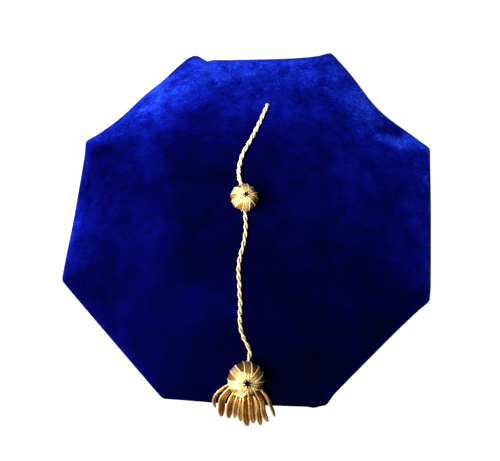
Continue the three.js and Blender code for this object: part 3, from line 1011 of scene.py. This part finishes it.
class WoundBall(Skin):
    """A ribbed core with bands of thread over it from pole to pole; place moves points to their seat."""

    def __init__(self, ball, bands, place):
        super().__init__()
        self.radius = ball["radius"]
        self.half_height = ball["half_height"]
        self.bands = bands
        self.place = place
        self.add_core()
        for band, light_beyond_cap in enumerate(bands["bands"]):
            self.add_band(math.radians(bands["first"]) + TAU * band / bands["count"], light_beyond_cap)

    def section(self, inset, steps, first, eye):
        """Radii and heights from points in the eye, over its rim and the equator, to the lower pole."""
        angle = np.linspace(math.acos(first), -math.pi / 2 + POLE_GAP, steps)
        radii = (self.radius - inset) * np.cos(angle)
        heights = (self.half_height - inset) * np.sin(angle)
        inside = [(r * self.radius, z * self.half_height) for r, z in eye]
        return np.concatenate([inside, np.stack([radii, heights], -1)])

    def add_core(self):
        """The ribbed floss under the bands, the cap where the bands meet and the hollow of the eye; the eye is
        coloured near black and the rib troughs darker as painted shade, and each wedge has its painted light
        or shade.
        """
        section = self.section(CORE_INSET, CORE_RINGS, EYE_SHARE, EYE_WALL)
        count = self.bands["count"]
        ribs = count * RIBS_PER_BAND
        around = ribs * RIB_STEPS
        bearing = np.arange(around) * TAU / around
        crest = np.cos(ribs * bearing)
        reach = section[:, :1] + RIB_DEPTH * section[:, :1] / self.radius * crest
        height = np.broadcast_to(section[:, 1:], reach.shape)
        rings = np.stack([reach * np.cos(bearing), reach * np.sin(bearing), height], -1)
        # Each wedge's painted light or shade, by its bearing
        after_band = (bearing - math.radians(self.bands["first"])) % TAU * count / TAU
        wedge_light_and_shade = np.array(self.bands["wedge_light_and_shade"])[after_band.astype(int)]
        eye_end = len(EYE_WALL)
        cap_end = eye_end + np.argmax(section[eye_end:, 0] > CAP_REACH * self.radius)
        last = len(section) - 1
        closed = list(range(around))
        pole = [index + (last - cap_end) * around for index in closed]
        for start, end, finish, lid, tone in (
            (0, eye_end, EYE, [closed], 0.0),
            (eye_end, cap_end, BAND, [], CAP_TONE),
            (cap_end, last, WEDGE, [pole], wedge_light_and_shade),
        ):
            part = rings[start:end + 1]
            # Painted shade in the troughs between the ribs
            shade = 1 - RIB_SHADE + RIB_SHADE * crest
            self.add(self.place(part), grid_faces(len(part), around) + lid, finish, tone * shade)

    def add_thread(self, middle, sideways, first, thread, raised, finish, ends):
        """One thread of a band, from the eye to the lower pole; the band squeezes in towards the poles."""
        eye = [(first - THREAD_END["inward"], THREAD_END["height"])]
        line = self.section(thread - raised, THREAD_STEPS, first, eye)
        share = math.pi / self.bands["count"]
        full = self.bands["width"] / 2 / (share * line[:, 0])
        squeezed = full / (1 + full ** SQUEEZE_POWER) ** (1 / SQUEEZE_POWER)
        swing = middle + 2 * sideways / self.bands["width"] * share * squeezed
        out = np.stack([np.cos(swing), np.sin(swing), np.zeros_like(swing)], -1)
        path = out * line[:, :1] + UP * line[:, 1:]
        size = np.array([self.radius, self.radius, self.half_height])
        girth = thread * np.clip(line[:, :1] / (TAPER_SHARE * self.radius), TAPER_LEAST, 1)
        points, faces = sweep(path, girth, THREAD_SIDES, unit(path / size ** 2))
        tone = np.interp(line[:, :1] / self.radius, CAP_FADE, ends)
        self.add(self.place(points), faces, finish, tone)

    def add_band(self, middle, light_beyond_cap):
        """Threads side by side, and a raised thread along each edge; light_beyond_cap is the band's tone
        beyond the cap, painted light or shade.
        """
        tones = self.bands["threads"]
        half = self.bands["width"] / 2
        inner = BAND_FILL * half
        thread = inner / (len(tones) - 1)
        for sideways, tone in zip(np.linspace(-inner, inner, len(tones)), tones):
            off_middle = (sideways / half) ** 2
            first = THREAD_START["middle"] + (THREAD_START["edge"] - THREAD_START["middle"]) * off_middle
            # A thread's tone goes from the cap to the band's painted light or shade beyond it
            ends = (tone, light_beyond_cap * tone ** (1 - BAND_EVENNESS * light_beyond_cap))
            self.add_thread(middle, sideways, first, thread, 0.0, BAND, ends)
        # The edge threads follow the band's painted light or shade, less strongly
        ends = (EDGE_CAP_TONE, EDGE_LEAST + (1 - EDGE_LEAST) * light_beyond_cap)
        for sideways in (-half, half):
            self.add_thread(middle, sideways, THREAD_START["rim"], EDGE_THREAD, EDGE_RAISE, EDGE, ends)


def leaned(points, ball):
    back, right = math.radians(ball["back"]), math.radians(ball["right"])
    lean = Matrix.Rotation(right, 3, "Y") @ Matrix.Rotation(-back, 3, "X")
    return points @ np.array(lean).T


def ball_depth(ball):
    """How far a leaning ball reaches below its middle."""
    tilt = math.acos(math.cos(math.radians(ball["back"])) * math.cos(math.radians(ball["right"])))
    return math.hypot(ball["half_height"] * math.cos(tilt), ball["radius"] * math.sin(tilt))


def slider_place(points):
    foot = top_height(SLIDER["x"], SLIDER["y"]) + GAP
    return leaned(points, SLIDER) + np.array([SLIDER["x"], SLIDER["y"], foot + ball_depth(SLIDER)])


# The tassel stands on the slope of the top, so its frame is tilted to that slope
SLOPE_STEP = 0.004
SLOPE = math.atan2(
    top_height(HEAD["x"], HEAD["y"] + SLOPE_STEP) - top_height(HEAD["x"], HEAD["y"] - SLOPE_STEP),
    2 * SLOPE_STEP,
)
TASSEL_FOOT = np.array([HEAD["x"], HEAD["y"], top_height(HEAD["x"], HEAD["y"])])
HEAD_CENTRE = GAP + HUB_HEIGHT + GAP + ball_depth(HEAD)


def tassel_place(points):
    x, y, z = np.moveaxis(np.asarray(points), -1, 0)
    tilted = [x, y * math.cos(SLOPE) - z * math.sin(SLOPE), y * math.sin(SLOPE) + z * math.cos(SLOPE)]
    return np.stack(tilted, -1) + TASSEL_FOOT


def head_place(points):
    return tassel_place(leaned(points, HEAD) + UP * HEAD_CENTRE)


# Fringe
WIRE_RADIUS = 0.00060
WIRE_SIDES = 6
WIRE_STEPS = 230
WIRE_PACKING = 0.92
LOCK_ROLL = math.radians(24)
LOCK_BULGE = 0.0003
LOCK_STEPS = 60
COIL_PITCH = 0.0008
COIL_DEPTH = 0.02
TIP_GIRTH = 0.5
HUB_TURNS = 3
HUB_SIDES = 48

# Tones of a lock's left edge, of its other wires in turn, of each lock, and along a lock's length; the left
# edge's tone is a painted highlight, and along the length the lock is painted darker at the root, as shade
# under the head, and lighter towards the tip
LIT_EDGE_TONE = 1.0
BODY_TONES = (0.50, 0.30, 0.44, 0.24)
LOCK_TONES = (1.2, 0.9, 0.9, 1.3, 1.5, 1.0, 1.4, 1.1, 1.4, 0.8)
LENGTH_LIGHT_TONES = [(0.0, 0.0), (0.36, 0.3), (0.54, 1.0), (0.82, 1.0), (0.95, 1.6)]

# How many wires next to each lock's left edge get the painted highlight too, and where along the lock they
# stop
HIGHLIT_WIRES = (0, 0, 0, 0, 0, 0, 0, 1, 0, 1)
HIGHLIGHT_END = (0.45, 0.70)

# How wide a lock is along its length, as shares of its length and of its half width
LOCK_GIRTH = np.array([
    (0.0, 0.45),
    (0.25, 0.70),
    (0.4, 0.92),
    (0.55, 1.00),
    (0.84, 1.00),
    (0.93, 0.80),
    (1.0, 0.25),
])


def lock_path(knee_side, knee_reach, low_side, low_reach, side, reach):
    root = LOCK_ROOT / math.hypot(knee_side, knee_reach)
    return catmull_rom([
        (knee_side * root, -knee_reach * root, LOCK_LIFT),
        (knee_side, -knee_reach, LOCK_LIFT + LOCK_ARCH),
        (low_side, -low_reach, LOCK_LIFT - LOCK_DIP),
        (side, -reach, LOCK_LIFT - LOCK_DROOP),
    ], LOCK_STEPS)


def bullion_lock(skin, row, lock_tone, highlit_wires):
    """One flat loop of coiled wires side by side, rolled so that its left edge is up; the left edge carries a
    painted highlight and the root a painted shade.
    """
    middle = resampled(lock_path(*row[:-1]), WIRE_STEPS)
    leftward, lift = path_axes(middle, UP)
    t = np.linspace(0, 1, WIRE_STEPS)
    spread = np.interp(t, *LOCK_GIRTH.T) * (row[-1] - WIRE_RADIUS) / math.cos(LOCK_ROLL)
    count = math.ceil(spread.max() / (WIRE_RADIUS * WIRE_PACKING)) + 1
    girth = WIRE_RADIUS * (TIP_GIRTH + (1 - TIP_GIRTH) * np.minimum(1, spread / WIRE_RADIUS))
    angle = np.arange(WIRE_SIDES) * TAU / WIRE_SIDES
    for k, left in enumerate(np.linspace(1, -1, count)):
        aside = left * spread * math.cos(LOCK_ROLL)
        above = left * spread * math.sin(LOCK_ROLL) + LOCK_BULGE * (1 - left ** 2)
        path = middle + leftward * aside[:, None] + lift * above[:, None]
        coil = TAU * path_lengths(path)[:, None] / COIL_PITCH + angle
        points, faces = sweep(path, girth[:, None] * (1 + COIL_DEPTH * np.cos(coil)), WIRE_SIDES, lift)
        # Painted shade near the root and a painted highlight on the left edge wires
        body = lock_tone * BODY_TONES[k % len(BODY_TONES)] * np.interp(t, *zip(*LENGTH_LIGHT_TONES))
        shine = np.interp(t, HIGHLIGHT_END, (float(k <= highlit_wires), float(k == 0)))
        tone = body + (LIT_EDGE_TONE - body) * shine
        skin.add(tassel_place(points), faces, mark=tone[:, None])


def bullion_fringe():
    skin = Skin()
    for row, lock_tone, highlit_wires in zip(LOCKS, LOCK_TONES, HIGHLIT_WIRES):
        bullion_lock(skin, row, lock_tone, highlit_wires)
    wire = HUB_HEIGHT / HUB_TURNS / 2
    ring = (HUB_RADIUS - wire) * circle(HUB_SIDES, HUB_SIDES + 1)
    for turn in range(HUB_TURNS):
        points, faces = sweep(ring + UP * (GAP + wire * (2 * turn + 1)), wire, WIRE_SIDES, UP)
        skin.add(tassel_place(points), faces)
    return skin.piece("bullion_fringe", [BULLION_WIRE], "tone")


# Floor and backdrop
STAGE_RADIUS = 3.0
STAGE_SIDES = 96
BACKDROP_HEIGHT = 3.0
STAGE_FINISH = {
    "Base Color": (0.08, 0.08, 0.08, 1),
    "Emission Color": (1, 1, 1, 1),
    "Emission Strength": 1.0,
    "Roughness": 0.9,
}


def stage_material():
    material, _, surface = new_material("pale_stage")
    set_inputs(surface, STAGE_FINISH)
    return material


def stage_piece(name, points, faces, material):
    mesh = bpy.data.meshes.new(name)
    mesh.from_pydata(points.tolist(), [], faces)
    mesh.materials.append(material)
    piece = add_object(name, mesh)
    piece.visible_glossy = False
    return piece


def add_stage():
    """A round pale floor, and a pale wall behind it that is seen but sheds no light on the object."""
    rim = STAGE_RADIUS * circle(STAGE_SIDES, STAGE_SIDES)
    material = stage_material()
    stage_piece("floor", rim, [list(range(STAGE_SIDES))], material)
    wall = np.concatenate([rim, rim + UP * BACKDROP_HEIGHT])
    backdrop = stage_piece("backdrop", wall, grid_faces(2, STAGE_SIDES), material)
    backdrop.visible_diffuse = False
    backdrop.visible_shadow = False


# Lights: name, bearing and elevation in degrees, distance, size and power
LIGHTS = [
    ("key", 207, 53, 1.3, 0.80, 46.0),
    ("broad", 95, 45, 1.5, 1.3, 5.0),
]
LIGHT_TARGET = Vector((0, 0, SEAM_HEIGHT))
SURROUNDINGS = {"Color": (1, 1, 1, 1), "Strength": 0.06}


def add_light(name, bearing, elevation, distance, size, power):
    data = bpy.data.lights.new(name, "AREA")
    data.size = size
    data.energy = power
    look_at(add_object(name, data), LIGHT_TARGET, bearing, elevation, distance)


def add_lighting():
    for row in LIGHTS:
        add_light(*row)
    world = bpy.data.worlds.new("studio")
    world.use_nodes = True
    set_inputs(world.node_tree.nodes["Background"], SURROUNDINGS)
    bpy.context.scene.world = world
    bpy.context.scene.view_settings.view_transform = "Standard"


add_camera()
add_stage()
add_lighting()

cord = twisted_cord()
slider = WoundBall(SLIDER, SLIDER_BANDS, slider_place).piece("wound_slider", BALL_FINISHES, "tone")
head = WoundBall(HEAD, HEAD_BANDS, head_place).piece("wound_head", BALL_FINISHES, "tone")
fringe = bullion_fringe()
top = crown_top()
underside = crown_underside()
band = headband()

PIECES = [
    (cord, "tassel_cord", "gold_cord"),
    (slider, "slider_ball", "gold_ball"),
    (head, "tassel_head", "gold_ball"),
    (fringe, "tassel_fringe", "bullion"),
    (top, "crown_top", "velvet"),
    (underside, "crown_underside", "velvet"),
    (band, "headband", "velvet"),
]
for piece, node, slot in PIECES:
    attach(piece, "root")
    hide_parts(node)
